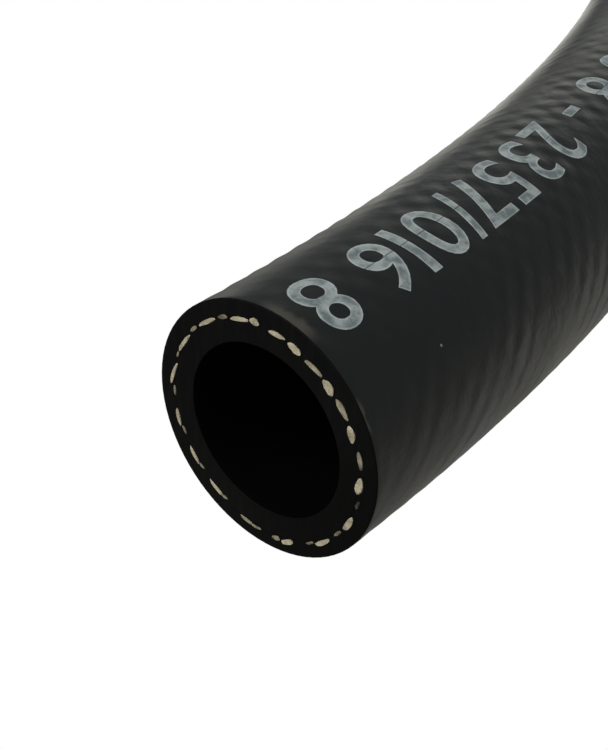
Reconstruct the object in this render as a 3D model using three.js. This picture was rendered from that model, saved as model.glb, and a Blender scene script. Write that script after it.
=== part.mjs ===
// Rubber hose with a textile braid, one metre, cut square at both ends.
// It lies on the floor in one open turn. Millimetres, +Z up.
// Three plies lie one inside the next: inner tube, yarn braid, outer cover.

import * as THREE from 'three';

// Driving sizes of the hose
const HOSE_LENGTH = 1000;
const BORE_DIAMETER = 19;
const TUBE_WALL = 1.7;
const BRAID_WALL = 0.9;
const COVER_WALL = 1.3;
const PLY_GAP = 0.3;

// How the hose lies: a gentle lead, an open turn and a straight tail.
// A bend is the number of degrees turned to the left in each 100 mm of hose.
const LEAD_LENGTH = 130;
const LEAD_BEND = 17;
const EASE_IN_LENGTH = 70;
const EASE_OUT_LENGTH = 80;
const TAIL_LENGTH = 100;
const WHOLE_TURN = 270;

// Fineness of the solids
const SIDES = 20;
const STEPS = 60;
const LONGEST_SUBSTEP = 1.5;

// Radii of the plies, from the bore outwards
const BORE_RADIUS = BORE_DIAMETER / 2;
const TUBE_RADIUS = BORE_RADIUS + TUBE_WALL;
const BRAID_INNER_RADIUS = TUBE_RADIUS + PLY_GAP;
const BRAID_RADIUS = BRAID_INNER_RADIUS + BRAID_WALL;
const COVER_INNER_RADIUS = BRAID_RADIUS + PLY_GAP;
const HOSE_RADIUS = COVER_INNER_RADIUS + COVER_WALL;

// The turn takes what is left of the length, and the bend that gives the whole turn
const BEND_UNIT = 100;
const LOOP_LENGTH = HOSE_LENGTH - LEAD_LENGTH - EASE_IN_LENGTH - EASE_OUT_LENGTH - TAIL_LENGTH;
const LEAD_TURN = (LEAD_BEND * (LEAD_LENGTH + EASE_IN_LENGTH / 2)) / BEND_UNIT;
const LOOP_SHARE = (EASE_IN_LENGTH / 2 + LOOP_LENGTH + EASE_OUT_LENGTH / 2) / BEND_UNIT;
const LOOP_BEND = (WHOLE_TURN - LEAD_TURN) / LOOP_SHARE;

// Stations along the hose: the distance from the first cut end, and the bend there
const LOOP_START = LEAD_LENGTH + EASE_IN_LENGTH;
const LOOP_END = LOOP_START + LOOP_LENGTH;
const TAIL_START = LOOP_END + EASE_OUT_LENGTH;
const STATIONS = [
  { distance: 0, bend: LEAD_BEND },
  { distance: LEAD_LENGTH, bend: LEAD_BEND },
  { distance: LOOP_START, bend: LOOP_BEND },
  { distance: LOOP_END, bend: LOOP_BEND },
  { distance: TAIL_START, bend: 0 },
  { distance: HOSE_LENGTH, bend: 0 },
];

// The bend between two stations changes evenly.
function bendAt(distance) {
  const last = STATIONS.length - 1;
  const next = STATIONS.findIndex((station) => station.distance > distance);
  if (next < 0) {
    return STATIONS[last].bend;
  }
  const from = STATIONS[next - 1];
  const to = STATIONS[next];
  const share = (distance - from.distance) / (to.distance - from.distance);
  return from.bend + (to.bend - from.bend) * share;
}

// The middle line of the hose, half its thickness above the floor. Each ring of the
// solids has a place on the line, and the level direction to the right of the line.
function routeRings() {
  const rings = [];
  const place = new THREE.Vector3(0, 0, HOSE_RADIUS);
  const substeps = Math.ceil(HOSE_LENGTH / STEPS / LONGEST_SUBSTEP);
  const substep = HOSE_LENGTH / (STEPS * substeps);
  let heading = 0;
  for (let index = 0; index <= STEPS * substeps; index += 1) {
    if (index % substeps === 0) {
      const right = new THREE.Vector3(Math.cos(heading), Math.sin(heading), 0);
      rings.push({ place: place.clone(), right });
    }
    const middle = (index + 0.5) * substep;
    const turned = THREE.MathUtils.degToRad((bendAt(middle) * substep) / BEND_UNIT);
    const between = heading + turned / 2;
    place.x -= Math.sin(between) * substep;
    place.y += Math.cos(between) * substep;
    heading += turned;
  }
  return rings;
}

// A hollow tube along the route with a flat ring at each end, as one closed surface.
function sleeveGeometry(rings, innerRadius, outerRadius) {
  const up = new THREE.Vector3(0, 0, 1);
  const positions = [];
  for (const radius of [outerRadius, innerRadius]) {
    for (const { place, right } of rings) {
      for (let side = 0; side < SIDES; side += 1) {
        const angle = (side * 2 * Math.PI) / SIDES;
        const point = place.clone();
        point.addScaledVector(right, radius * Math.cos(angle));
        point.addScaledVector(up, radius * Math.sin(angle));
        positions.push(point.x, point.y, point.z);
      }
    }
  }

  const wallSize = rings.length * SIDES;
  const corner = (wall, ring, side) => wall * wallSize + ring * SIDES + (side % SIDES);
  const faces = [];
  const addQuad = (a, b, c, d) => faces.push(a, c, b, a, d, c);
  const lastRing = rings.length - 1;
  for (let side = 0; side < SIDES; side += 1) {
    for (let ring = 0; ring < lastRing; ring += 1) {
      addQuad(
        corner(0, ring, side),
        corner(0, ring, side + 1),
        corner(0, ring + 1, side + 1),
        corner(0, ring + 1, side),
      );
      addQuad(
        corner(1, ring, side),
        corner(1, ring + 1, side),
        corner(1, ring + 1, side + 1),
        corner(1, ring, side + 1),
      );
    }
    addQuad(corner(0, 0, side), corner(1, 0, side), corner(1, 0, side + 1), corner(0, 0, side + 1));
    addQuad(
      corner(0, lastRing, side),
      corner(0, lastRing, side + 1),
      corner(1, lastRing, side + 1),
      corner(1, lastRing, side),
    );
  }

  const geometry = new THREE.BufferGeometry();
  geometry.setAttribute('position', new THREE.Float32BufferAttribute(positions, 3));
  geometry.setIndex(faces);
  geometry.computeVertexNormals();
  return geometry;
}

// Materials
const coverRubber = new THREE.MeshStandardMaterial({ color: 0x25272a, roughness: 0.42, metalness: 0 });
const tubeRubber = new THREE.MeshStandardMaterial({ color: 0x121314, roughness: 0.6, metalness: 0 });
const yarn = new THREE.MeshStandardMaterial({ color: 0xc9bd9f, roughness: 0.85, metalness: 0 });

// The plies
const rings = routeRings();
const plies = [
  { name: 'inner_tube', inner: BORE_RADIUS, outer: TUBE_RADIUS, material: tubeRubber },
  { name: 'yarn_braid', inner: BRAID_INNER_RADIUS, outer: BRAID_RADIUS, material: yarn },
  { name: 'outer_cover', inner: COVER_INNER_RADIUS, outer: HOSE_RADIUS, material: coverRubber },
];

const hose = new THREE.Group();
hose.name = 'rubber_hose';
for (const ply of plies) {
  const mesh = new THREE.Mesh(sleeveGeometry(rings, ply.inner, ply.outer), ply.material);
  mesh.name = ply.name;
  hose.add(mesh);
}

// The origin is at the middle of the hose's footprint, on the floor.
const box = new THREE.Box3().setFromObject(hose);
const middle = box.getCenter(new THREE.Vector3());
for (const mesh of hose.children) {
  mesh.position.set(-middle.x, -middle.y, -box.min.z);
}

export default hose;
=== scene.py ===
# %% [markdown]
# Rubber hose with a textile braid
#
# The object is one metre of black rubber hose. Its wall has three plies: an inner tube, a braid of
# cream yarn and an outer cover with a light print. This lesson makes the plies straight first and
# then bends them all along one route, because a straight hose is easy to think about: x and y are
# the places in its section, and z is the distance from its cut end.

import math

import bmesh
import bpy
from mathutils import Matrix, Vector


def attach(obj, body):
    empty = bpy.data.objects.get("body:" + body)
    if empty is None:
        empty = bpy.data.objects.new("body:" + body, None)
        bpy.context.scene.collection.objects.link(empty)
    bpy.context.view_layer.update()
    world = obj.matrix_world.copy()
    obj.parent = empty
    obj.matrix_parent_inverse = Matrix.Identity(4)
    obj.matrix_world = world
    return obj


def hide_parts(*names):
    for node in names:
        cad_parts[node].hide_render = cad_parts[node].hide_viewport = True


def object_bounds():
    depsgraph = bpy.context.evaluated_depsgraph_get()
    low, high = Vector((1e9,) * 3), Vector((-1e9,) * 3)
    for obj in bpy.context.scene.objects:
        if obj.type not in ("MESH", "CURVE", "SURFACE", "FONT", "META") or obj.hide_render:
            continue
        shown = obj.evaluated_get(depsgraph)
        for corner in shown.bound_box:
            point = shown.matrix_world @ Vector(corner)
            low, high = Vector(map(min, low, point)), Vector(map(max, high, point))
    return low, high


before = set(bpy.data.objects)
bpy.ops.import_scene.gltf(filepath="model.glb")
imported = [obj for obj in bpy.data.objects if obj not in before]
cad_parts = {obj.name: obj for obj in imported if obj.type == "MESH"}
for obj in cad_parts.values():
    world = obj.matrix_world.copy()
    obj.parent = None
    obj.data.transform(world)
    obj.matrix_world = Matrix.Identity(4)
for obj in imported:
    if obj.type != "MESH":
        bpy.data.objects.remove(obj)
cad_box = [list(corner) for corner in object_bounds()]
print("nodes:", sorted(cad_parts), "box:", cad_box)

# %% [markdown]
# The route
#
# A hose that was cut from a reel keeps some of its bend. It lies level on the floor: a gentle lead
# from the near end, then an open turn, then a straight tail. A bend is a number of degrees in each
# 100 mm, and it changes evenly between the stations. A Bezier curve drawn by hand would do as well,
# but summing the bends keeps the length exact, which matters for a hose sold by the metre.

# %% Sizes of the hose and its route, in metres
HOSE_LENGTH = 1.0
BORE_RADIUS = 0.0095
TUBE_RADIUS = 0.0112
BRAID_INNER_RADIUS = 0.0115
BRAID_RADIUS = 0.0124
COVER_INNER_RADIUS = 0.0127
HOSE_RADIUS = 0.014
COVER_RADIUS = 0.01399

LEAD_LENGTH = 0.130
LEAD_BEND = 17
EASE_IN_LENGTH = 0.070
EASE_OUT_LENGTH = 0.080
TAIL_LENGTH = 0.100
WHOLE_TURN = 270
BEND_UNIT = 0.100

LOOP_LENGTH = HOSE_LENGTH - LEAD_LENGTH - EASE_IN_LENGTH - EASE_OUT_LENGTH - TAIL_LENGTH
LEAD_TURN = LEAD_BEND * (LEAD_LENGTH + EASE_IN_LENGTH / 2) / BEND_UNIT
LOOP_SHARE = (EASE_IN_LENGTH / 2 + LOOP_LENGTH + EASE_OUT_LENGTH / 2) / BEND_UNIT
LOOP_BEND = (WHOLE_TURN - LEAD_TURN) / LOOP_SHARE
LOOP_START = LEAD_LENGTH + EASE_IN_LENGTH
LOOP_END = LOOP_START + LOOP_LENGTH
TAIL_START = LOOP_END + EASE_OUT_LENGTH
STATIONS = [
    (0, LEAD_BEND),
    (LEAD_LENGTH, LEAD_BEND),
    (LOOP_START, LOOP_BEND),
    (LOOP_END, LOOP_BEND),
    (TAIL_START, 0),
    (HOSE_LENGTH, 0),
]
print("bend of the turn:", round(LOOP_BEND, 2), "degrees in 100 mm")


# %% The middle line
def bend_at(distance):
    for (start, bend), (end, next_bend) in zip(STATIONS, STATIONS[1:]):
        if distance < end:
            return bend + (next_bend - bend) * (distance - start) / (end - start)
    return STATIONS[-1][1]


def middle_line(steps):
    step = HOSE_LENGTH / steps
    place = Vector((0, 0, HOSE_RADIUS))
    heading = 0.0
    line = [place.copy()]
    for index in range(steps):
        turned = math.radians(bend_at((index + 0.5) * step) * step / BEND_UNIT)
        between = heading + turned / 2
        place += Vector((-math.sin(between), math.cos(between), 0)) * step
        heading += turned
        line.append(place.copy())
    return line


ROUTE_STEPS = 2000
line = middle_line(ROUTE_STEPS)
near_end = Vector((cad_box[1][0] - HOSE_RADIUS, 0, 0))
near_end.y = cad_box[0][1] + HOSE_RADIUS - line[-1].y
line = [point + near_end for point in line]
print("near end:", [round(value, 5) for value in line[0]], "far end:", [round(v, 5) for v in line[-1]])


# %% The route as a curve object, which the bending nodes read
def new_object(name, data):
    made = bpy.data.objects.new(name, data)
    bpy.context.collection.objects.link(made)
    return made


route_curve = bpy.data.curves.new("route", "CURVE")
route_curve.dimensions = "3D"
route_spline = route_curve.splines.new("POLY")
route_spline.points.add(len(line) - 1)
for spline_point, point in zip(route_spline.points, line):
    spline_point.co = (*point, 1)
route = new_object("route", route_curve)
print("route:", len(line), "points")

# %% [markdown]
# The camera
#
# The picture was taken from close by, so the near end looks large and the hose runs away from it.
# The camera is placed by its distance from the middle of the near cut end and by the pixel where
# that middle appears, in a picture of 608 by 750 pixels.

# %% Camera
CAMERA_AZIMUTH = math.radians(40.37)
CAMERA_ELEVATION = math.radians(32.65)
CAMERA_DISTANCE = 0.14338
PICTURE_SIZE = (608, 750)
FOCAL_PIXELS = 1475.3
NEAR_END_PIXEL = (263.2, 431.9)
SENSOR_MM = 36
NEAREST_SEEN = 0.005


def direction_from(azimuth, elevation):
    level = math.cos(elevation)
    return Vector((math.sin(azimuth) * level, -math.cos(azimuth) * level, math.sin(elevation)))


back = direction_from(CAMERA_AZIMUTH, CAMERA_ELEVATION)
right = Vector((math.cos(CAMERA_AZIMUTH), math.sin(CAMERA_AZIMUTH), 0))
up = back.cross(right)
metres_per_pixel = CAMERA_DISTANCE / FOCAL_PIXELS
aside = (NEAR_END_PIXEL[0] - PICTURE_SIZE[0] / 2) * metres_per_pixel
above = (PICTURE_SIZE[1] / 2 - NEAR_END_PIXEL[1]) * metres_per_pixel

camera_data = bpy.data.cameras.new("camera")
camera_data.sensor_width = SENSOR_MM
camera_data.lens = SENSOR_MM * FOCAL_PIXELS / PICTURE_SIZE[1]
camera_data.clip_start = NEAREST_SEEN
camera = new_object("camera", camera_data)
camera.location = line[0] + back * CAMERA_DISTANCE - right * aside - up * above
camera.rotation_euler = back.to_track_quat("Z", "Y").to_euler()
bpy.context.scene.camera = camera
print("lens:", round(camera_data.lens, 2), "mm, camera at", [round(v, 4) for v in camera.location])


# %% [markdown]
# Helpers for node trees
#
# Every tree below is built in code. One helper places a node and fills its sockets, with a value or
# with another node's output. The others write sums, noise and places, so that a formula stays on a
# few lines.

# %% Placing a node
def fill_socket(tree, socket, value):
    if isinstance(value, bpy.types.NodeSocket):
        tree.links.new(value, socket)
    else:
        socket.default_value = value


def place_node(tree, kind, sockets=None, **settings):
    node = tree.nodes.new(kind)
    for name, value in settings.items():
        setattr(node, name, value)
    for key, value in (sockets or {}).items():
        fill_socket(tree, node.inputs[key], value)
    return node


def made_by(tree, kind, sockets=None, **settings):
    return place_node(tree, kind, sockets, **settings).outputs[0]


# %% Sums and noise
def calc(tree, operation, *terms):
    return made_by(tree, "ShaderNodeMath", dict(enumerate(terms)), operation=operation)


def minus(tree, first, second):
    return calc(tree, "SUBTRACT", first, second)


def product(tree, first, *factors):
    for factor in factors:
        first = calc(tree, "MULTIPLY", first, factor)
    return first


def vector_calc(tree, operation, *terms):
    return made_by(tree, "ShaderNodeVectorMath", dict(enumerate(terms)), operation=operation)


def scaled(tree, vector, factor):
    return made_by(tree, "ShaderNodeVectorMath", {0: vector, "Scale": factor}, operation="SCALE")


def between(tree, value, low, high, at_low, at_high, kind="SMOOTHSTEP"):
    sockets = {"Value": value, "From Min": low, "From Max": high, "To Min": at_low, "To Max": at_high}
    return place_node(tree, "ShaderNodeMapRange", sockets, interpolation_type=kind).outputs["Result"]


def noise(tree, place, scale, detail, roughness=0.5):
    sockets = {"Vector": place, "Scale": scale, "Detail": detail, "Roughness": roughness}
    return place_node(tree, "ShaderNodeTexNoise", sockets).outputs["Fac"]


# %% Places on the straight hose
def parts_of(tree, vector):
    return place_node(tree, "ShaderNodeSeparateXYZ", {0: vector}).outputs


def joined_parts(tree, **parts):
    return made_by(tree, "ShaderNodeCombineXYZ", parts)


def around_hose(tree, radius, angle, distance):
    x = product(tree, radius, calc(tree, "COSINE", angle))
    y = product(tree, radius, calc(tree, "SINE", angle))
    return joined_parts(tree, X=x, Y=y, Z=distance)


def from_nearer_end(tree, distance):
    return calc(tree, "MINIMUM", distance, minus(tree, HOSE_LENGTH, distance))


def moved_points(tree, geometry, **sockets):
    return made_by(tree, "GeometryNodeSetPosition", {"Geometry": geometry, **sockets})


# %% Groups, and pieces that a tree shapes
def new_tree(name, kind, inputs, outputs):
    tree = bpy.data.node_groups.new(name, kind)
    for label, socket_kind in inputs.items():
        tree.interface.new_socket(label, in_out="INPUT", socket_type="NodeSocket" + socket_kind)
    for label, socket_kind in outputs.items():
        tree.interface.new_socket(label, in_out="OUTPUT", socket_type="NodeSocket" + socket_kind)
    print("tree:", name, "with", ", ".join(inputs))
    return tree, tree.nodes.new("NodeGroupInput").outputs, tree.nodes.new("NodeGroupOutput").inputs


def shape_tree(name, inputs):
    inputs = {"Geometry": "Geometry", "Route": "Object", **inputs}
    return new_tree(name, "GeometryNodeTree", inputs, {"Geometry": "Geometry"})


def use_group(tree, group, sockets):
    kind = "GeometryNodeGroup" if tree.bl_idname == "GeometryNodeTree" else "ShaderNodeGroup"
    return place_node(tree, kind, sockets, node_tree=group).outputs


def shaped_by(piece, tree, values):
    modifier = piece.modifiers.new(tree.name, "NODES")
    modifier.node_group = tree
    sockets = {item.name: item.identifier for item in tree.interface.items_tree if item.in_out == "INPUT"}
    for label, value in values.items():
        modifier[sockets[label]] = value
    bpy.context.view_layer.update()
    depsgraph = bpy.context.evaluated_depsgraph_get()
    evaluated = piece.evaluated_get(depsgraph)
    mesh = bpy.data.meshes.new_from_object(evaluated, preserve_all_data_layers=True, depsgraph=depsgraph)
    piece.modifiers.remove(modifier)
    piece.data = mesh
    mesh.name = piece.name
    mesh.shade_smooth()
    print(piece.name, len(mesh.vertices), "points", len(mesh.polygons), "faces")
    return piece


# %% [markdown]
# Bending a straight hose
#
# Each piece is made straight, along z. This group samples the route at a point's distance z, and
# moves the point to the same place in the section there: x goes to the right of the route and y
# goes up. A Curve modifier does something like it, but it can't say where up is.

# %% The bending group
bend_tree, given, result = shape_tree("bend_along_route", {})
tree = bend_tree
x, y, z = parts_of(tree, made_by(tree, "GeometryNodeInputPosition"))
on_hose = calc(tree, "MINIMUM", calc(tree, "MAXIMUM", z, 0.0), HOSE_LENGTH)
past_end = minus(tree, z, on_hose)
curve = place_node(tree, "GeometryNodeObjectInfo", {"Object": given["Route"]}).outputs["Geometry"]
sockets = {"Curves": curve, "Length": on_hose}
sample = place_node(tree, "GeometryNodeSampleCurve", sockets, mode="LENGTH", use_all_curves=True).outputs
tangent = vector_calc(tree, "NORMALIZE", sample["Tangent"])
to_right = vector_calc(tree, "CROSS_PRODUCT", tangent, (0, 0, 1))
moved = vector_calc(tree, "ADD", sample["Position"], scaled(tree, to_right, x))
moved = vector_calc(tree, "ADD", moved, scaled(tree, tangent, past_end))
moved = vector_calc(tree, "ADD", moved, joined_parts(tree, Z=y))
tree.links.new(moved_points(tree, given["Geometry"], Position=moved), result[0])


# %% The end of every tree: bend, make the copies real, give them their finish
def laid_on_route(tree, geometry, along, material):
    laid = use_group(tree, bend_tree, {"Geometry": geometry, "Route": along})[0]
    whole = made_by(tree, "GeometryNodeRealizeInstances", {"Geometry": laid})
    return made_by(tree, "GeometryNodeSetMaterial", {"Geometry": whole, "Material": material})


# %% [markdown]
# Where the yarns cross
#
# The braid has 16 yarns wound each way. They cross at a grid of points around and along the hose,
# and the cover shows a low bump over each crossing. A bump is where the ridges of both windings
# meet; on the sides of the hose one winding shows more than the other. The braid, the relief of the
# cover and the fine bump in its material all use this one grid, so that they agree.

# %% The grid of crossings
YARNS_EACH_WAY = 16
BRAID_PITCH = 0.00353
CROSSING_ANGLE = math.radians(5.625)
CROSSING_DISTANCE = 0.00067
LEFT_SHARE_ON_SIDE = 0.78
LEFT_SHARE_ON_TOP = 0.50
SIDE_TO_TOP = (0.60, 0.85)
PATCH_SCALE = 90.0
PATCH_SPAN = (0.35, 0.65)


def crossing_height(tree, angle, distance):
    around = product(tree, minus(tree, angle, CROSSING_ANGLE), YARNS_EACH_WAY)
    along = product(tree, minus(tree, distance, CROSSING_DISTANCE), 2 * math.pi / BRAID_PITCH)
    left_ridges = calc(tree, "COSINE", minus(tree, around, along))
    right_ridges = calc(tree, "COSINE", calc(tree, "ADD", around, along))
    on_top = calc(tree, "SINE", angle)
    left_share = between(tree, on_top, *SIDE_TO_TOP, LEFT_SHARE_ON_SIDE, LEFT_SHARE_ON_TOP)
    right_part = product(tree, right_ridges, minus(tree, 1.0, left_share))
    return calc(tree, "MULTIPLY_ADD", left_ridges, left_share, right_part)


def patchy_strength(tree, place, weakest):
    return between(tree, noise(tree, place, PATCH_SCALE, 2.0), *PATCH_SPAN, weakest, 1.0)


# %% The relief of the cover: a height of zero or less at a place on the straight hose
RELIEF_DEPTH = 0.00013
RELIEF_FADE = (0.0004, 0.003)
PRINT_MIDDLE_ANGLE = math.radians(76)
PRINT_HALF_WIDTH = math.radians(19)
PRESSED_HALF_WIDTH = math.radians(30)
UNDER_PRINT = 0.35
relief_tree, given, result = new_tree(
    "cover_relief",
    "GeometryNodeTree",
    {"Place": "Vector", "Depth": "Float"},
    {"Height": "Float"},
)
tree = relief_tree
x, y, z = parts_of(tree, given["Place"])
angle = calc(tree, "ARCTAN2", y, x)
strength = patchy_strength(tree, given["Place"], 0.4)
fade_in = between(tree, from_nearer_end(tree, z), *RELIEF_FADE, 0.0, 1.0)
off_print = calc(tree, "COSINE", minus(tree, angle, PRINT_MIDDLE_ANGLE))
print_span = (math.cos(PRESSED_HALF_WIDTH), math.cos(PRINT_HALF_WIDTH))
pressed = between(tree, off_print, *print_span, 1.0, UNDER_PRINT)
height = minus(tree, product(tree, crossing_height(tree, angle, z), 0.5), 0.5)
tree.links.new(product(tree, height, given["Depth"], strength, fade_in, pressed), result["Height"])


# %% [markdown]
# Effects that several finishes share
#
# Rubber is never one flat black. It has a fine grain from the mandrel and the wrap, a few specks of
# dust, and slow changes in its shine. Each effect is one shader group with its own inputs, so the
# cover, the cut faces and the ink can use it at different strengths.

# %% Shader group: fine grain
CLOUD_SHARE = 0.03
grain_group, given, result = new_tree(
    "rubber_grain",
    "ShaderNodeTree",
    {"Place": "Vector", "Size": "Float", "Roughness": "Float"},
    {"Height": "Float", "Cloud": "Float"},
)
tree = grain_group
frequency = calc(tree, "DIVIDE", 1.0, given["Size"])
tree.links.new(noise(tree, given["Place"], frequency, 4.0, given["Roughness"]), result["Height"])
tree.links.new(noise(tree, given["Place"], product(tree, frequency, CLOUD_SHARE), 3.0), result["Cloud"])

# %% Shader group: dust specks
SPECK_SIZES = (0.02, 0.055)
dust_group, given, result = new_tree(
    "dust_specks",
    "ShaderNodeTree",
    {"Place": "Vector", "Spacing": "Float", "Share": "Float"},
    {"Mask": "Float"},
)
tree = dust_group
frequency = calc(tree, "DIVIDE", 1.0, given["Spacing"])
sockets = {"Vector": given["Place"], "Scale": frequency, "Randomness": 1.0}
cells = place_node(tree, "ShaderNodeTexVoronoi", sockets).outputs
colour = place_node(tree, "ShaderNodeSeparateColor", {0: cells["Color"]}).outputs
chosen = calc(tree, "LESS_THAN", colour[0], given["Share"])
speck_size = between(tree, colour[1], 0.0, 1.0, *SPECK_SIZES, "LINEAR")
near_middle = calc(tree, "LESS_THAN", cells["Distance"], speck_size)
tree.links.new(product(tree, chosen, near_middle), result["Mask"])

# %% Shader group: bumps over the braid's crossings, weaker near the cut and stronger on the sides
LUMP_SCALE = 620.0
LUMP_HEIGHT = 0.22
FADE_LENGTH = 0.045
crossing_group, given, result = new_tree(
    "braid_show_through",
    "ShaderNodeTree",
    {"Map": "Vector", "Place": "Vector"},
    {"Height": "Float"},
)
tree = crossing_group
turn, distance, _ = parts_of(tree, given["Map"])
angle = product(tree, turn, 2 * math.pi)
strength = patchy_strength(tree, given["Place"], 0.35)
fade_in = between(tree, distance, 0.0, FADE_LENGTH, 0.55, 1.05)
on_side = between(tree, calc(tree, "SINE", angle), 0.0, 0.5, 1.70, 0.98)
lumps = noise(tree, given["Place"], LUMP_SCALE, 2.0)
lumps = between(tree, lumps, 0.3, 0.7, -LUMP_HEIGHT, LUMP_HEIGHT, "LINEAR")
height = calc(tree, "MULTIPLY_ADD", crossing_height(tree, angle, distance), strength, lumps)
tree.links.new(product(tree, fade_in, on_side, height), result["Height"])

# %% Shader group: a painted highlight on a cut edge
EDGE_HIGHLIGHT_SCALE = 420.0
edge_highlight_group, given, result = new_tree(
    "scuffed_edge",
    "ShaderNodeTree",
    {"Map": "Vector", "Place": "Vector", "Angle": "Float", "Half width": "Float", "Reach": "Float"},
    {"Mask": "Float"},
)
tree = edge_highlight_group
turn, distance, _ = parts_of(tree, given["Map"])
ragged = between(tree, noise(tree, given["Place"], EDGE_HIGHLIGHT_SCALE, 3.0), 0.3, 0.7, 0.45, 1.3, "LINEAR")
reach = product(tree, given["Reach"], ragged)
near_edge = between(tree, calc(tree, "DIVIDE", from_nearer_end(tree, distance), reach), 0.35, 1.0, 1.0, 0.0)
off_angle = minus(tree, product(tree, turn, 2 * math.pi), given["Angle"])
off_angle = calc(tree, "ARCCOSINE", calc(tree, "COSINE", off_angle))
in_width = between(tree, calc(tree, "DIVIDE", off_angle, given["Half width"]), 0.3, 1.0, 1.0, 0.0)
tree.links.new(product(tree, near_edge, in_width), result["Mask"])


# %% Material helpers
def new_material(name):
    material = bpy.data.materials.new(name)
    material.use_nodes = True
    print("material:", name)
    tree = material.node_tree
    return material, tree, place_node(tree, "ShaderNodeTexCoord").outputs["Object"]


def mixed_colour(tree, factor, first, second):
    node = place_node(tree, "ShaderNodeMix", {"Factor": factor}, data_type="RGBA")
    for socket, value in ((node.inputs[6], first), (node.inputs[7], second)):
        fill_socket(tree, socket, value if isinstance(value, bpy.types.NodeSocket) else (*value, 1))
    return node.outputs[2]


def finish_surface(tree, colour, roughness, specular, height, strength, depth):
    shader = tree.nodes["Principled BSDF"].inputs
    fill_socket(tree, shader["Base Color"], colour)
    fill_socket(tree, shader["Roughness"], roughness)
    shader["Specular IOR Level"].default_value = specular
    sockets = {"Height": height, "Strength": strength, "Distance": depth}
    tree.links.new(made_by(tree, "ShaderNodeBump", sockets), shader["Normal"])


# %% [markdown]
# The cover's satin rubber
#
# The cover is black rubber that was cured in a wrap, so it is neither glossy nor dull. It is nearly
# black where one looks straight at it, and pale at its edges, because any smooth surface mirrors
# more at a low angle. That needs no paint: a dark base with a middling roughness does it.

# %% Cover rubber, with painted highlights on its cut edges: angle and half width in degrees, then the reach in metres
COVER_EDGE_HIGHLIGHTS = ((78, 17, 0.0022), (30, 9, 0.0009), (205, 30, 0.0010), (318, 14, 0.0012))
COVER_BLACK = (0.0048, 0.0060, 0.0068)
COVER_GREY = (0.0094, 0.0098, 0.0094)
EDGE_HIGHLIGHT_COLOUR = (0.066, 0.059, 0.049)
DUST_COLOUR = (0.28, 0.28, 0.26)
cover_satin, tree, object_place = new_material("cover_satin")
cover_map = place_node(tree, "ShaderNodeUVMap", uv_map="hose_map").outputs["UV"]
grain = use_group(tree, grain_group, {"Place": object_place, "Size": 0.0004, "Roughness": 0.6})
dust = use_group(tree, dust_group, {"Place": object_place, "Spacing": 0.0035, "Share": 0.16})["Mask"]
relief = use_group(tree, crossing_group, {"Map": cover_map, "Place": object_place})["Height"]
edge_highlight = 0.0
for highlight_angle, half_width, reach in COVER_EDGE_HIGHLIGHTS:
    sockets = {"Map": cover_map, "Place": object_place, "Angle": math.radians(highlight_angle)}
    sockets |= {"Half width": math.radians(half_width), "Reach": reach}
    edge_highlight = calc(tree, "MAXIMUM", edge_highlight, use_group(tree, edge_highlight_group, sockets)["Mask"])
tint = mixed_colour(tree, grain["Cloud"], COVER_BLACK, COVER_GREY)
# Painted highlight: paler brown-grey patches along the cut edge, mixed into the colour; the rubber is also
# rougher there.
tint = mixed_colour(tree, edge_highlight, tint, EDGE_HIGHLIGHT_COLOUR)
shine = between(tree, grain["Cloud"], 0.3, 0.7, 0.33, 0.43, "LINEAR")
shine = calc(tree, "ADD", shine, product(tree, dust, 0.3))
finish_surface(
    tree,
    colour=mixed_colour(tree, dust, tint, DUST_COLOUR),
    roughness=calc(tree, "ADD", shine, product(tree, edge_highlight, 0.2)),
    specular=0.45,
    height=calc(tree, "ADD", relief, product(tree, grain["Height"], 0.14)),
    strength=0.9,
    depth=0.00008,
)

# %% [markdown]
# Cut rubber
#
# A knife leaves the rubber duller than its moulded skin, with fine drag lines across it. The real
# cut face is almost black, so its base is darker than the cover's and its mirror part is small.

# %% Cut rubber, with painted shade: a deeper black towards one side
SHADED_SIDE_ANGLE = math.radians(320)
DRAG_SCALE = (1200, 1200, 260)
SMEAR_SCALE = 240.0
CUT_OLIVE = (0.0042, 0.0043, 0.0030)
CUT_BLUE = (0.0030, 0.0029, 0.0048)
CUT_LINES = (0.0075, 0.0072, 0.0062)
CUT_PAINTED_SHADE = (0.0012, 0.0012, 0.0014)
cut_rubber, tree, object_place = new_material("cut_rubber")
grain = use_group(tree, grain_group, {"Place": object_place, "Size": 0.0006, "Roughness": 0.7})
dragged = made_by(tree, "ShaderNodeMapping", {"Vector": object_place, "Scale": DRAG_SCALE})
drag_lines = noise(tree, dragged, 1.0, 3.0)
tint = mixed_colour(tree, noise(tree, object_place, SMEAR_SCALE, 2.0), CUT_OLIVE, CUT_BLUE)
tint = mixed_colour(tree, between(tree, drag_lines, 0.4, 0.75, 0.0, 0.5), tint, CUT_LINES)
cut_map = place_node(tree, "ShaderNodeUVMap", uv_map="hose_map").outputs["UV"]
# Painted shade: the cut faces turn a deeper black towards the lower right of the section.
off_shaded_side = minus(tree, product(tree, parts_of(tree, cut_map)[0], 2 * math.pi), SHADED_SIDE_ANGLE)
painted_shade = between(tree, calc(tree, "COSINE", off_shaded_side), 0.2, 1.0, 0.0, 0.75)
finish_surface(
    tree,
    colour=mixed_colour(tree, painted_shade, tint, CUT_PAINTED_SHADE),
    roughness=0.62,
    specular=0.06,
    height=calc(tree, "ADD", grain["Height"], product(tree, drag_lines, 0.8)),
    strength=0.6,
    depth=0.00010,
)

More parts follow.
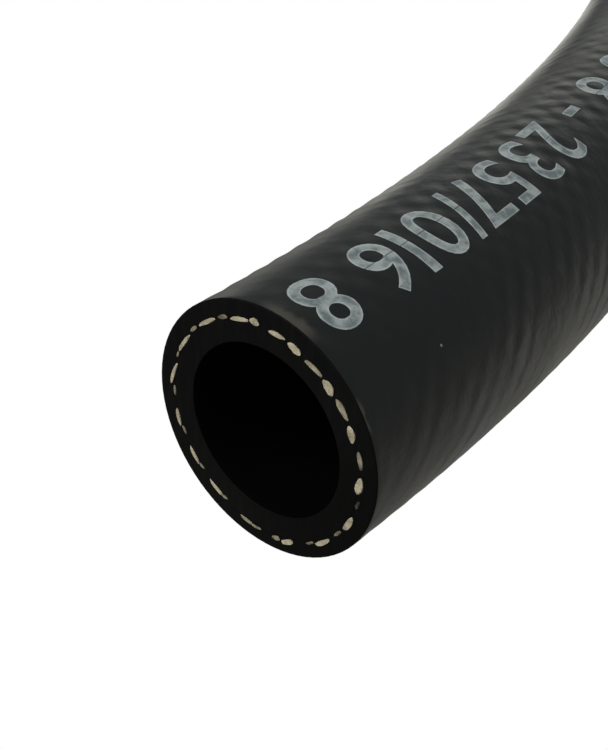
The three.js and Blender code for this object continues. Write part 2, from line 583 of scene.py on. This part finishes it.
# %% Bore rubber, with painted shade: darker than the tube's cut face, so the inside of the bore stays black
BORE_SHADED_BLACK = (0.0009, 0.0009, 0.0010)
BORE_SHADED_GREY = (0.0022, 0.0021, 0.0020)
bore_rubber, tree, object_place = new_material("bore_rubber")
grain = use_group(tree, grain_group, {"Place": object_place, "Size": 0.0008, "Roughness": 0.5})
# Black rubber with painted shade: the bore's colours are darker than the same tube's cut face, standing in
# for the shade inside the bore.
tint = mixed_colour(tree, grain["Cloud"], BORE_SHADED_BLACK, BORE_SHADED_GREY)
finish_surface(
    tree, tint, roughness=0.50, specular=0.05, height=grain["Height"], strength=0.3, depth=0.00004
)

# %% [markdown]
# Yarn
#
# The braid is polyester yarn, cream by nature and stained by the rubber it was pressed into, some
# yarns hardly and some almost black. Each yarn carries its cleanness as a number on the mesh. It is
# a bundle of filaments, so its colour also changes in thin streaks.

# %% Yarn material
FILAMENT_SCALE = 4200.0
STAIN_SCALE = 900.0
YARN_SHADE = (0.34, 0.270, 0.175)
YARN_CREAM = (0.78, 0.70, 0.52)
YARN_STAIN = (0.035, 0.036, 0.024)
cream_yarn, tree, object_place = new_material("cream_yarn")
filaments = noise(tree, object_place, FILAMENT_SCALE, 2.0)
clean = place_node(tree, "ShaderNodeAttribute", attribute_name="yarn_clean").outputs["Fac"]
patchy = between(tree, noise(tree, object_place, STAIN_SCALE, 2.0), 0.35, 0.65, -0.32, 0.22, "LINEAR")
dirty = minus(tree, minus(tree, 1.0, clean), patchy)
dirty = calc(tree, "MINIMUM", calc(tree, "MAXIMUM", dirty, 0.0), 1.0)
tint = mixed_colour(tree, dirty, mixed_colour(tree, filaments, YARN_SHADE, YARN_CREAM), YARN_STAIN)
finish_surface(tree, tint, roughness=0.85, specular=0.25, height=filaments, strength=0.8, depth=0.00008)

# %% [markdown]
# Ink
#
# The print is a thin grey ink from a wheel. The wheel squeezes the ink to the edges of each stroke,
# so the edges are pale and the middle lets the rubber through. A mould line along the hose leaves a
# fine dark hair across some of the figures. The mesh carries the edge as a number from 0 to 1, and
# its own map gives the place along and around the hose.

# %% Ink material
MOULD_LINE = 0.00330
MOULD_LINE_WIDTH = 0.00009
MOULD_LINE_WANDER = 0.00012
FINE_WEAR_SCALE = 1700.0
CLOUDY_SCALE = 700.0
HAIR_SCALE = 60.0
INK_THIN = (0.172, 0.203, 0.211)
INK_FULL = (0.405, 0.445, 0.440)
INK_EDGE = (0.490, 0.524, 0.510)
INK_WORN = (0.085, 0.096, 0.098)
INK_HAIR = (0.02, 0.02, 0.02)
INK_DIRT = (0.03, 0.03, 0.03)
print_ink, tree, object_place = new_material("print_ink")
ink_map = place_node(tree, "ShaderNodeUVMap", uv_map="ink_map").outputs["UV"]
rim = place_node(tree, "ShaderNodeAttribute", attribute_name="ink_rim").outputs["Fac"]
thin = noise(tree, object_place, FINE_WEAR_SCALE, 5.0, 0.65)
patchy = noise(tree, object_place, CLOUDY_SCALE, 3.0)
dust = use_group(tree, dust_group, {"Place": object_place, "Spacing": 0.0011, "Share": 0.10})["Mask"]
cloudy = between(tree, patchy, 0.34, 0.66, 0.0, 1.0)
squeezed = between(tree, rim, 0.10, 0.75, 0.0, 1.0)
squeezed = product(tree, squeezed, between(tree, cloudy, 0.0, 1.0, 0.5, 1.0))
grey = mixed_colour(tree, squeezed, mixed_colour(tree, cloudy, INK_THIN, INK_FULL), INK_EDGE)
worn = minus(tree, thin, product(tree, rim, 0.05))
grey = mixed_colour(tree, between(tree, worn, 0.52, 0.78, 0.0, 0.7), grey, INK_WORN)
wander = between(tree, patchy, 0.0, 1.0, -MOULD_LINE_WANDER, MOULD_LINE_WANDER, "LINEAR")
off_line = minus(tree, calc(tree, "ADD", parts_of(tree, ink_map)[1], wander), MOULD_LINE)
hair = between(tree, calc(tree, "ABSOLUTE", off_line), MOULD_LINE_WIDTH * 0.5, MOULD_LINE_WIDTH, 1.0, 0.0)
shown = between(tree, noise(tree, object_place, HAIR_SCALE, 1.0), 0.45, 0.62, 0.0, 0.7)
grey = mixed_colour(tree, product(tree, hair, shown), grey, INK_HAIR)
grey = mixed_colour(tree, dust, grey, INK_DIRT)
finish_surface(tree, grey, roughness=0.60, specular=0.35, height=thin, strength=0.4, depth=0.00003)


# %% [markdown]
# The rubber plies
#
# A ply is turned like a pot on a wheel: one closed outline, drawn in radius and distance, is swept
# around z. A closed outline makes a closed solid. The outline is made here in code, with a small
# round at each cut edge, and each corner of a face gets the map the materials read: the share of a
# turn around the hose and the distance along it.

# %% The outline of a ply
CORNER_STEPS = 3
FACE_RINGS = 3


def rounded(radius, distance, edge, first_angle):
    corner = []
    for step in range(CORNER_STEPS + 1):
        angle = math.radians(first_angle + 90 * step / CORNER_STEPS)
        corner.append((radius + edge * math.cos(angle), distance + edge * math.sin(angle)))
    return corner


def face_rings(start, end, distance):
    shares = [(ring + 1) / (FACE_RINGS + 1) for ring in range(FACE_RINGS)]
    return [(start + (end - start) * share, distance) for share in shares]


def ply_outline(outer_wall, inner_wall, outer_edge, inner_edge):
    outer = outer_wall[0][0]
    inner = inner_wall[0][0]
    outline = rounded(outer - outer_edge, outer_edge, outer_edge, -90) + outer_wall
    outline += rounded(outer - outer_edge, HOSE_LENGTH - outer_edge, outer_edge, 0)
    outline += face_rings(outer - outer_edge, inner + inner_edge, HOSE_LENGTH)
    outline += rounded(inner + inner_edge, HOSE_LENGTH - inner_edge, inner_edge, 90) + inner_wall[::-1]
    outline += rounded(inner + inner_edge, inner_edge, inner_edge, 180)
    outline += face_rings(inner + inner_edge, outer - outer_edge, 0)
    return outline


def straight_wall(radius, start, step):
    count = int((HOSE_LENGTH - 2 * start) / step)
    return [(radius, start + index * (HOSE_LENGTH - 2 * start) / count) for index in range(count + 1)]


# %% Turning an outline into a closed mesh, whose faces within the cut depth count as cut
CUT_DEPTH = 0.0002


def turned_ply(name, outline, sides):
    points = []
    for radius, distance in outline:
        for side in range(sides):
            angle = 2 * math.pi * side / sides
            points.append((radius * math.cos(angle), radius * math.sin(angle), distance))
    faces = []
    maps = []
    cut = []
    for ring, (_, distance) in enumerate(outline):
        following = (ring + 1) % len(outline)
        next_distance = outline[following][1]
        from_end = max(min(z, HOSE_LENGTH - z) for z in (distance, next_distance))
        for side in range(sides):
            beside = (side + 1) % sides
            faces.append((
                ring * sides + side,
                ring * sides + beside,
                following * sides + beside,
                following * sides + side,
            ))
            share, next_share = side / sides, (side + 1) / sides
            maps += [share, distance, next_share, distance, next_share, next_distance, share, next_distance]
            cut.append(from_end <= CUT_DEPTH)
    mesh = bpy.data.meshes.new(name)
    mesh.from_pydata(points, [], faces)
    mesh.uv_layers.new(name="hose_map").data.foreach_set("uv", maps)
    mesh.attributes.new("cut", "BOOLEAN", "FACE").data.foreach_set("value", cut)
    mesh.update()
    return new_object(name, mesh)


# %% [markdown]
# Relief and bending of a ply
#
# The cover's bumps are real geometry: the tree moves each point of the outer wall by the height of
# the relief. The cut faces get a slight unevenness, only inwards. Then the ply is bent along the
# route, and its faces get their two finishes.

# %% The ply tree
WALL_TOLERANCE = 0.00001
CUT_TOLERANCE = 0.00005
CUT_NOISE_SCALE = 500.0
ply_tree, given, result = shape_tree(
    "finish_ply",
    {
        "Outer radius": "Float",
        "Relief depth": "Float",
        "Cut unevenness": "Float",
        "Skin": "Material",
        "Cut": "Material",
    },
)
tree = ply_tree
position = made_by(tree, "GeometryNodeInputPosition")
z = parts_of(tree, position)["Z"]
level = vector_calc(tree, "MULTIPLY", position, (1, 1, 0))
radius = place_node(tree, "ShaderNodeVectorMath", {0: level}, operation="LENGTH").outputs["Value"]
on_wall = calc(tree, "GREATER_THAN", radius, minus(tree, given["Outer radius"], WALL_TOLERANCE))
relief = use_group(tree, relief_tree, {"Place": position, "Depth": given["Relief depth"]})["Height"]
lift = scaled(tree, vector_calc(tree, "NORMALIZE", level), product(tree, relief, on_wall))
lifted = moved_points(tree, given["Geometry"], Offset=lift)
uneven = noise(tree, position, CUT_NOISE_SCALE, 2.0)
on_cut = calc(tree, "LESS_THAN", from_nearer_end(tree, z), CUT_TOLERANCE)
inwards = calc(tree, "SIGN", minus(tree, HOSE_LENGTH / 2, z))
sunk = product(tree, uneven, given["Cut unevenness"], on_cut, inwards)
dented = moved_points(tree, lifted, Offset=joined_parts(tree, Z=sunk))
skinned = laid_on_route(tree, dented, given["Route"], given["Skin"])
is_cut = made_by(tree, "GeometryNodeInputNamedAttribute", {"Name": "cut"}, data_type="BOOLEAN")
sockets = {"Geometry": skinned, "Selection": is_cut, "Material": given["Cut"]}
tree.links.new(made_by(tree, "GeometryNodeSetMaterial", sockets), result[0])

# %% [markdown]
# Cover and inner tube
#
# At the cut faces the two rubbers meet between the yarns, so both plies reach the middle of the
# braid there. Further in they keep to their own sides and leave the braid its room.

# %% Outlines of the two rubber plies
PLY_SIDES = YARNS_EACH_WAY * 5
COVER_EDGE = 0.0002
BORE_EDGE = 0.00015
SEAM_EDGE = 0.00003
SEAM_RADIUS = 0.0120
SEAM_DEPTH = 0.0012
SEAM_EASE = 0.0005
BORE_EASE = 0.003
WALL_STEP = 0.008
FINE_LENGTH = 0.110
FINE_STEP = BRAID_PITCH / 7
COARSE_STEP = BRAID_PITCH / 3.2


def wall_with_seam(wall_radius):
    wall = straight_wall(wall_radius, SEAM_DEPTH + SEAM_EASE, WALL_STEP)
    return [(SEAM_RADIUS, SEAM_DEPTH)] + wall + [(SEAM_RADIUS, HOSE_LENGTH - SEAM_DEPTH)]


cover_wall = []
distance = COVER_EDGE + FINE_STEP
while distance < HOSE_LENGTH - COVER_EDGE - COARSE_STEP / 2:
    cover_wall.append((COVER_RADIUS, distance))
    distance += FINE_STEP if distance < FINE_LENGTH else COARSE_STEP
cover_outline = ply_outline(cover_wall, wall_with_seam(COVER_INNER_RADIUS), COVER_EDGE, SEAM_EDGE)
tube_bore = straight_wall(BORE_RADIUS, BORE_EASE, WALL_STEP)
tube_outline = ply_outline(wall_with_seam(TUBE_RADIUS), tube_bore, SEAM_EDGE, BORE_EDGE)
print("rings:", len(cover_outline), "in the cover,", len(tube_outline), "in the tube")

# %% Make the plies. The tube has no relief, so its outer radius is out of reach.
CUT_UNEVENNESS = 0.00006
OUT_OF_REACH = 1.0


def finished_ply(name, outline, outer_radius, relief_depth, skin):
    values = {"Route": route, "Outer radius": outer_radius, "Relief depth": relief_depth}
    values |= {"Cut unevenness": CUT_UNEVENNESS, "Skin": skin, "Cut": cut_rubber}
    return shaped_by(turned_ply(name, outline, PLY_SIDES), ply_tree, values)


cover = finished_ply("hose_cover", cover_outline, COVER_RADIUS, RELIEF_DEPTH, cover_satin)
tube = finished_ply("hose_tube", tube_outline, OUT_OF_REACH, 0.0, bore_rubber)

# %% [markdown]
# The braid
#
# 32 yarns wind around the inner tube, 16 each way, over and under one another. Only their cut ends
# show, so the yarns are full strands near both ends and a plain sleeve in between. A cut yarn is a
# bundle squashed by its neighbours, so no two ends look alike. Those of the near end are read from
# the picture, yarn by yarn: its angle, its distance from the middle, its width and thickness, how
# far it leans outwards in 1 mm of width, and how clean it is. The far end gets the same yarns in
# another order, because a hose shows a different part of its braid at each cut.

# %% The cut ends of the yarns: degrees, then millimetres, then the lean and the cleanness
LEFT_WOUND = [
    (10.0, 12.15, 2.4, 0.65, 0.0, 0.4),
    (35.0, 11.9, 2.8, 0.90, 0.0, 0.65),
    (57.5, 11.8, 2.8, 0.70, -0.1, 0.7),
    (80.5, 11.9, 2.5, 0.65, -0.05, 1.0),
    (103.5, 12.0, 2.9, 0.60, 0.0, 1.0),
    (126.0, 12.05, 3.3, 0.60, 0.0, 1.0),
    (149.5, 12.0, 3.7, 0.51, 0.05, 0.9),
    (171.0, 12.2, 3.4, 0.55, 0.2, 0.95),
    (196.0, 12.15, 2.4, 0.54, 0.0, 0.9),
    (217.0, 12.05, 2.6, 0.46, 0.0, 0.95),
    (236.5, 12.05, 2.8, 0.44, 0.0, 0.9),
    (258.0, 12.35, 2.1, 0.40, 0.0, 0.65),
    (284.0, 12.5, 2.1, 0.70, -0.25, 0.9),
    (308.0, 12.4, 2.9, 0.65, -0.08, 0.9),
    (331.0, 12.25, 2.9, 0.85, 0.0, 0.85),
    (356.0, 11.95, 2.6, 1.10, 0.17, 1.0),
]
RIGHT_WOUND = [
    (23.0, 11.8, 2.1, 1.00, 0.0, 0.75),
    (46.5, 11.8, 2.0, 1.25, 0.0, 0.85),
    (70.0, 11.8, 2.0, 1.00, 0.0, 0.9),
    (94.0, 12.1, 1.6, 0.90, 0.0, 0.65),
    (114.0, 12.15, 1.6, 0.55, 0.0, 0.5),
    (137.0, 12.15, 1.6, 0.50, 0.0, 0.45),
    (159.0, 12.1, 1.0, 0.31, 0.0, 0.3),
    (181.0, 12.0, 1.5, 0.39, 0.0, 0.4),
    (203.0, 11.85, 1.2, 0.35, 0.0, 0.45),
    (223.5, 11.85, 0.9, 0.35, 0.0, 0.6),
    (242.5, 12.0, 0.9, 0.39, 0.0, 0.6),
    (264.5, 12.4, 1.6, 0.39, 0.0, 0.65),
    (277.0, 12.45, 1.1, 0.70, 0.0, 0.5),
    (299.5, 12.25, 1.1, 0.40, 0.0, 0.3),
    (321.0, 12.2, 1.1, 0.45, 0.0, 0.25),
    (345.5, 12.2, 1.1, 0.50, 0.0, 0.12),
]
FAR_END_TURN = 140
MM = 0.001

# %% One point for each cut end, with its numbers as attributes
YARN_NUMBERS = ("angle", "radius", "width", "thickness", "lean", "clean", "winding", "start", "inwards")
yarn_rows = []
for at_end, inwards, turn in ((0.0, 1, 0), (HOSE_LENGTH, -1, FAR_END_TURN)):
    for winding, yarns in ((-1, LEFT_WOUND), (1, RIGHT_WOUND)):
        for angle, radius, width, thickness, lean, clean in yarns:
            sizes = (math.radians(angle + turn), radius * MM, width * MM, thickness * MM)
            yarn_rows.append((*sizes, lean, clean, winding, at_end, inwards))
yarn_points = bpy.data.meshes.new("yarn_ends")
yarn_points.from_pydata([(0, 0, 0)] * len(yarn_rows), [], [])
for name, values in zip(YARN_NUMBERS, zip(*yarn_rows)):
    yarn_points.attributes.new("yarn_" + name, "FLOAT", "POINT").data.foreach_set("value", values)
yarn_ends = new_object("yarn_ends", yarn_points)
print("yarn ends:", len(yarn_rows))

# %% [markdown]
# Winding the yarns
#
# A strand starts as a straight round rod. The tree puts one rod on each point, squashes it to the
# size of its yarn, and winds it around the hose, rising and falling where it crosses the yarns that
# are wound the other way. The section always stays square to the hose, so the cut ends are flush.

# %% The braid tree starts with a rod on each point
STRAND_LENGTH = 0.016
STRAND_SECTIONS = 40
STRAND_SIDES = 12
braid_tree, given, result = shape_tree(
    "braid",
    {
        "Yarn ends": "Object",
        "Strand length": "Float",
        "Stands out": "Float",
        "Interlace": "Float",
        "Yarn": "Material",
    },
)
tree = braid_tree


def copies_at(tree, points, shape):
    copies = made_by(tree, "GeometryNodeInstanceOnPoints", {"Points": points, "Instance": shape})
    return made_by(tree, "GeometryNodeRealizeInstances", {"Geometry": copies})


rod_start = joined_parts(tree, Z=product(tree, given["Stands out"], -1.0))
rod_end = joined_parts(tree, Z=given["Strand length"])
rod_line = made_by(tree, "GeometryNodeCurvePrimitiveLine", {"Start": rod_start, "End": rod_end})
rod_line = made_by(tree, "GeometryNodeResampleCurve", {"Curve": rod_line, "Count": STRAND_SECTIONS})
rod_section = made_by(tree, "GeometryNodeCurvePrimitiveCircle", {"Resolution": STRAND_SIDES, "Radius": 0.5})
sockets = {"Curve": rod_line, "Profile Curve": rod_section, "Fill Caps": True}
rod = made_by(tree, "GeometryNodeCurveToMesh", sockets)
seats = place_node(tree, "GeometryNodeObjectInfo", {"Object": given["Yarn ends"]}).outputs["Geometry"]
loose = copies_at(tree, seats, rod)


# %% Each rod is wound around the hose
def yarn_fact(name):
    sockets = {"Name": "yarn_" + name}
    return made_by(braid_tree, "GeometryNodeInputNamedAttribute", sockets, data_type="FLOAT")


x, y, z = parts_of(tree, made_by(tree, "GeometryNodeInputPosition"))
distance = calc(tree, "MULTIPLY_ADD", z, yarn_fact("inwards"), yarn_fact("start"))
travelled = minus(tree, distance, yarn_fact("start"))
one_place = 2 * math.pi / YARNS_EACH_WAY
wound = product(tree, travelled, one_place / BRAID_PITCH, yarn_fact("winding"))
yarn_angle = calc(tree, "ADD", yarn_fact("angle"), wound)

# %% The squashed outline of each yarn, with a lump or two of its own and a rounded tip
OUTLINE_SCALE = 2.2
OUTLINE_SHIFT = 9.0
TIP_LENGTH = 0.00007
outline_place = joined_parts(tree, X=x, Y=y, Z=product(tree, yarn_fact("angle"), OUTLINE_SHIFT))
lumpy = between(tree, noise(tree, outline_place, OUTLINE_SCALE, 1.0), 0.3, 0.7, 0.86, 1.20, "LINEAR")
tip = between(tree, calc(tree, "ADD", z, given["Stands out"]), 0.0, TIP_LENGTH, 0.72, 1.0)
squash = product(tree, lumpy, tip)
spread = product(tree, x, yarn_fact("width"), squash)
yarn_angle = calc(tree, "ADD", yarn_angle, calc(tree, "DIVIDE", spread, yarn_fact("radius")))
wave = calc(tree, "SINE", product(tree, travelled, 2 * math.pi / BRAID_PITCH))
wave = product(tree, wave, given["Interlace"], yarn_fact("winding"))
depth = product(tree, y, yarn_fact("thickness"), squash)
radius = calc(tree, "ADD", calc(tree, "ADD", yarn_fact("radius"), wave), depth)
radius = calc(tree, "ADD", radius, product(tree, spread, yarn_fact("lean")))
wound_rods = moved_points(tree, loose, Position=around_hose(tree, radius, yarn_angle, distance))

# %% The strands join the sleeve and are bent along the route
joined = place_node(tree, "GeometryNodeJoinGeometry")
for geometry in (given["Geometry"], wound_rods):
    tree.links.new(geometry, joined.inputs[0])
tree.links.new(laid_on_route(tree, joined.outputs[0], given["Route"], given["Yarn"]), result[0])

# %% Make the braid
SLEEVE_SIDES = 32
SLEEVE_STEPS = 120
SLEEVE_GAP = 0.0005
sleeve_inset = STRAND_LENGTH + SLEEVE_GAP
sleeve_span = HOSE_LENGTH - 2 * sleeve_inset
sleeve_places = [sleeve_inset + sleeve_span * step / SLEEVE_STEPS for step in range(SLEEVE_STEPS + 1)]
sleeve_outline = [(BRAID_RADIUS, z) for z in sleeve_places]
sleeve_outline += [(BRAID_INNER_RADIUS, z) for z in sleeve_places[::-1]]
braid = shaped_by(
    turned_ply("hose_braid", sleeve_outline, SLEEVE_SIDES),
    braid_tree,
    {
        "Route": route,
        "Yarn ends": yarn_ends,
        "Strand length": STRAND_LENGTH,
        "Stands out": 0.00008,
        "Interlace": 0.0001,
        "Yarn": cream_yarn,
    },
)
for name in YARN_NUMBERS:
    if name != "clean":
        braid.data.attributes.remove(braid.data.attributes["yarn_" + name])
bpy.data.objects.remove(yarn_ends)

# %% [markdown]
# The print
#
# Hose is printed by a wheel as it leaves the line, so one short run of figures repeats along it. The
# figures here are plain numbers. A text object becomes a flat mesh, is cut into narrow strips so
# that it can follow the round cover, and gets the thickness of a film of ink. A tree then repeats
# the run along the hose, rolls it onto the cover and bends it along the route.

# %% Sizes of the print
PRINT_RUN = [
    ("8", 0.0054),
    ("6", 0.0145),
    ("1", 0.0189),
    ("0", 0.0237),
    ("/", 0.0286),
    ("7", 0.0323),
    ("5", 0.0383),
    ("3", 0.0445),
    ("2", 0.0508),
    ("-", 0.0588),
]
PRINT_PITCH = 0.0623
GLYPH_HEIGHT = 0.00795
STROKE_SPREAD = 0.010
PRINT_BASE_ANGLE = math.radians(92.5)
INK_LOW = -0.00006
INK_THICKNESS = 0.00009
INK_STRIP = 0.0008
INK_BLOCK = 0.0012
INK_RIM = 0.00032
WELD_DISTANCE = 0.000001


# %% One figure as a flat mesh, with its middle at zero
def figure_mesh(character):
    text = bpy.data.curves.new("figure", "FONT")
    text.body = character
    text.align_x = "CENTER"
    text.offset = STROKE_SPREAD
    text.resolution_u = 6
    holder = new_object("figure", text)
    bpy.context.view_layer.update()
    mesh = bpy.data.meshes.new_from_object(holder)
    bpy.data.objects.remove(holder)
    bpy.data.curves.remove(text)
    return mesh


figures = {character: figure_mesh(character) for character, _ in PRINT_RUN}
eight = [vertex.co.y for vertex in figures["8"].vertices]
figure_scale = GLYPH_HEIGHT / (max(eight) - min(eight))
figure_foot = min(eight)
print(len(figures), "figures, the 8 is", round(GLYPH_HEIGHT / MM, 2), "mm high")

# %% The run of figures as one thin solid: x runs along the hose, y around it, z out of it
run = bmesh.new()
for character, distance in PRINT_RUN:
    mesh = figures[character]
    across = [vertex.co.x for vertex in mesh.vertices]
    middle = (max(across) + min(across)) / 2
    for vertex in mesh.vertices:
        vertex.co = (
            distance - (vertex.co.x - middle) * figure_scale,
            (vertex.co.y - figure_foot) * figure_scale,
            INK_LOW,
        )
    run.from_mesh(mesh)
bmesh.ops.remove_doubles(run, verts=run.verts, dist=WELD_DISTANCE)
rim_layer = run.verts.layers.float.new("ink_rim")
for vertex in run.verts:
    vertex[rim_layer] = 1
figure_faces = list(run.faces)
bmesh.ops.inset_region(run, faces=figure_faces, thickness=INK_RIM, use_boundary=True, use_even_offset=False)
inner_points = {vertex for face in figure_faces for vertex in face.verts}
for vertex in inner_points:
    vertex[rim_layer] = 0
for size, step, normal in ((GLYPH_HEIGHT, INK_STRIP, (0, 1, 0)), (PRINT_PITCH, INK_BLOCK, (1, 0, 0))):
    for count in range(1, math.ceil(size / step)):
        cut_place = Vector(normal) * count * step
        everything = list(run.verts) + list(run.edges) + list(run.faces)
        bmesh.ops.bisect_plane(run, geom=everything, plane_co=cut_place, plane_no=normal)
raised = bmesh.ops.extrude_face_region(run, geom=list(run.faces))["geom"]
raised = [item for item in raised if isinstance(item, bmesh.types.BMVert)]
bmesh.ops.translate(run, verts=raised, vec=(0, 0, INK_THICKNESS))
bmesh.ops.recalc_face_normals(run, faces=list(run.faces))
open_edges = sum(1 for edge in run.edges if len(edge.link_faces) != 2)
print("print run:", len(run.faces), "faces,", open_edges, "open edges")
ink_map = run.loops.layers.uv.new("ink_map")
for face in run.faces:
    for corner in face.loops:
        corner[ink_map].uv = corner.vert.co.xy
run_mesh = bpy.data.meshes.new("print_run")
run.to_mesh(run_mesh)
run.free()

# %% The print tree: repeat the run, roll it onto the cover, bend it along the route
print_tree, given, result = shape_tree(
    "print_along_hose",
    {
        "Runs": "Int",
        "Pitch": "Float",
        "Cover radius": "Float",
        "Relief depth": "Float",
        "Foot angle": "Float",
        "Ink": "Material",
    },
)
tree = print_tree
sockets = {"Count": given["Runs"], "Offset": joined_parts(tree, X=given["Pitch"])}
places = made_by(tree, "GeometryNodeMeshLine", sockets, mode="OFFSET")
loose = copies_at(tree, places, given["Geometry"])
x, y, z = parts_of(tree, made_by(tree, "GeometryNodeInputPosition"))
angle = minus(tree, given["Foot angle"], calc(tree, "DIVIDE", y, given["Cover radius"]))
radius = calc(tree, "ADD", given["Cover radius"], z)
sockets = {"Place": around_hose(tree, radius, angle, x), "Depth": given["Relief depth"]}
radius = calc(tree, "ADD", radius, use_group(tree, relief_tree, sockets)["Height"])
rolled = moved_points(tree, loose, Position=around_hose(tree, radius, angle, x))
tree.links.new(laid_on_route(tree, rolled, given["Route"], given["Ink"]), result[0])

# %% Make the print
printed = shaped_by(
    new_object("hose_print", run_mesh),
    print_tree,
    {
        "Route": route,
        "Runs": int(HOSE_LENGTH / PRINT_PITCH),
        "Pitch": PRINT_PITCH,
        "Cover radius": COVER_RADIUS,
        "Relief depth": RELIEF_DEPTH,
        "Foot angle": PRINT_BASE_ANGLE,
        "Ink": print_ink,
    },
)
printed.data.shade_flat()

# %% [markdown]
# Declaring the pieces
# Each piece rides on the one rigid body of the part and takes the place of its plain solid. The cover is
# also declared as one metre of stiff hose, with the other plies on it.

# %% Pieces
for piece, node, finish in (
    (cover, "outer_cover", "cover_rubber"),
    (tube, "inner_tube", "tube_rubber"),
    (braid, "yarn_braid", "braid_yarn"),
    (printed, None, "cover_rubber"),
):
    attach(piece, "root")
    if node:
        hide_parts(node)

bpy.data.objects.remove(route)

# %% [markdown]
# Floor and light
#
# The picture has a white ground without shadows, so the floor glows white for the camera and is a
# calmer grey in the rubber's reflections. The sky is dim, with a bright screen low behind the hose.
# That is what makes the edges of a black tube pale and leaves its middle dark.

# %% Floor: a calm glow, a brighter strip under the near end and a pool of light inside the turn
FLOOR_SIZE = 3.0
FLOOR_DROP = 0.0005
FLOOR_GLOW = 0.22
STRIP_FRONT_GLOW = 0.10
STRIP_BACK_GLOW = 0.26
STRIP_ALONG = (-0.08, 0.0)
STRIP_INNER_EDGE = (0.150, 0.175)
STRIP_OUTER_EDGE = (0.200, 0.235)
STRIP_OUTSIDE_SHARE = 0.15
POOL_GLOW = 1.85
POOL_ALONG = (0.005, 0.095)
POOL_ACROSS = (0.160, 0.110)
FLOOR_TINT = (1.0, 0.985, 0.895)
WHITE = (1, 1, 1)
floor_material, tree, floor_place = new_material("white_floor")
seen = place_node(tree, "ShaderNodeLightPath").outputs["Is Camera Ray"]
x, y, _ = parts_of(tree, floor_place)
pool = product(tree, between(tree, y, *POOL_ALONG, 0.0, 1.0), between(tree, x, *POOL_ACROSS, 0.0, 1.0))
strip = between(tree, y, *STRIP_ALONG, STRIP_FRONT_GLOW, STRIP_BACK_GLOW)
strip = product(tree, strip, between(tree, x, *STRIP_INNER_EDGE, 0.0, 1.0))
strip = product(tree, strip, between(tree, x, *STRIP_OUTER_EDGE, 1.0, STRIP_OUTSIDE_SHARE))
floor_glow = calc(tree, "MULTIPLY_ADD", pool, POOL_GLOW, calc(tree, "ADD", strip, FLOOR_GLOW))
sockets = {
    "Color": mixed_colour(tree, seen, FLOOR_TINT, WHITE),
    "Strength": between(tree, seen, 0.0, 1.0, floor_glow, 1.0, "LINEAR"),
}
surface = tree.nodes["Material Output"].inputs["Surface"]
tree.links.new(made_by(tree, "ShaderNodeEmission", sockets), surface)
tree.nodes.remove(tree.nodes["Principled BSDF"])
half = FLOOR_SIZE / 2
corners = [(side * half, end * half, -FLOOR_DROP) for side, end in ((-1, -1), (1, -1), (1, 1), (-1, 1))]
floor_mesh = bpy.data.meshes.new("floor")
floor_mesh.from_pydata(corners, [], [(0, 1, 2, 3)])
floor_mesh.materials.append(floor_material)
floor = new_object("floor", floor_mesh)

# %% Sky: even and dim, with a bright screen behind the hose and a weaker one opposite
SKY_GLOW = 0.24
SCREEN_DIRECTION = (-0.375, 0.926, 0.050)
SCREEN_GLOW = 1.10
SCREEN_EDGE = (0.925, 0.994)
OPPOSITE_EDGE = (-0.60, -0.95)
OPPOSITE_SHARE = 0.45
COOL_WHITE = (0.90, 1.0, 1.0)
WARM_WHITE = (1.0, 0.970, 0.875)
world = bpy.data.worlds.new("studio")
bpy.context.scene.world = world
world.use_nodes = True
tree = world.node_tree
sockets = {0: place_node(tree, "ShaderNodeTexCoord").outputs["Generated"], 1: SCREEN_DIRECTION}
facing = place_node(tree, "ShaderNodeVectorMath", sockets, operation="DOT_PRODUCT").outputs["Value"]
screen = between(tree, facing, *SCREEN_EDGE, 0.0, SCREEN_GLOW)
opposite = between(tree, facing, *OPPOSITE_EDGE, 0.0, SCREEN_GLOW * OPPOSITE_SHARE)
screens = calc(tree, "ADD", screen, opposite)
sky_glow = calc(tree, "ADD", screens, SKY_GLOW)
sky_colour = mixed_colour(tree, calc(tree, "DIVIDE", screens, sky_glow), COOL_WHITE, WARM_WHITE)
seen = place_node(tree, "ShaderNodeLightPath").outputs["Is Camera Ray"]
background = tree.nodes["Background"].inputs
tree.links.new(mixed_colour(tree, seen, sky_colour, WHITE), background["Color"])
tree.links.new(between(tree, seen, 0.0, 1.0, sky_glow, 1.0, "LINEAR"), background["Strength"])

# %% One soft lamp, from the front and above
LAMP_AZIMUTH = math.radians(-15)
LAMP_ELEVATION = math.radians(50)
LAMP_DISTANCE = 1.2
LAMP_SIZE = 0.6
LAMP_POWER = 9
lamp_data = bpy.data.lights.new("front_softbox", "AREA")
lamp_data.size = LAMP_SIZE
lamp_data.energy = LAMP_POWER
lamp = new_object("front_softbox", lamp_data)
towards_lamp = direction_from(LAMP_AZIMUTH, LAMP_ELEVATION)
lamp.location = line[0] + towards_lamp * LAMP_DISTANCE
lamp.rotation_euler = towards_lamp.to_track_quat("Z", "Y").to_euler()
bpy.context.scene.view_settings.view_transform = "Standard"
bpy.context.scene.view_settings.look = "None"
print("lamp at", [round(v, 3) for v in lamp.location])
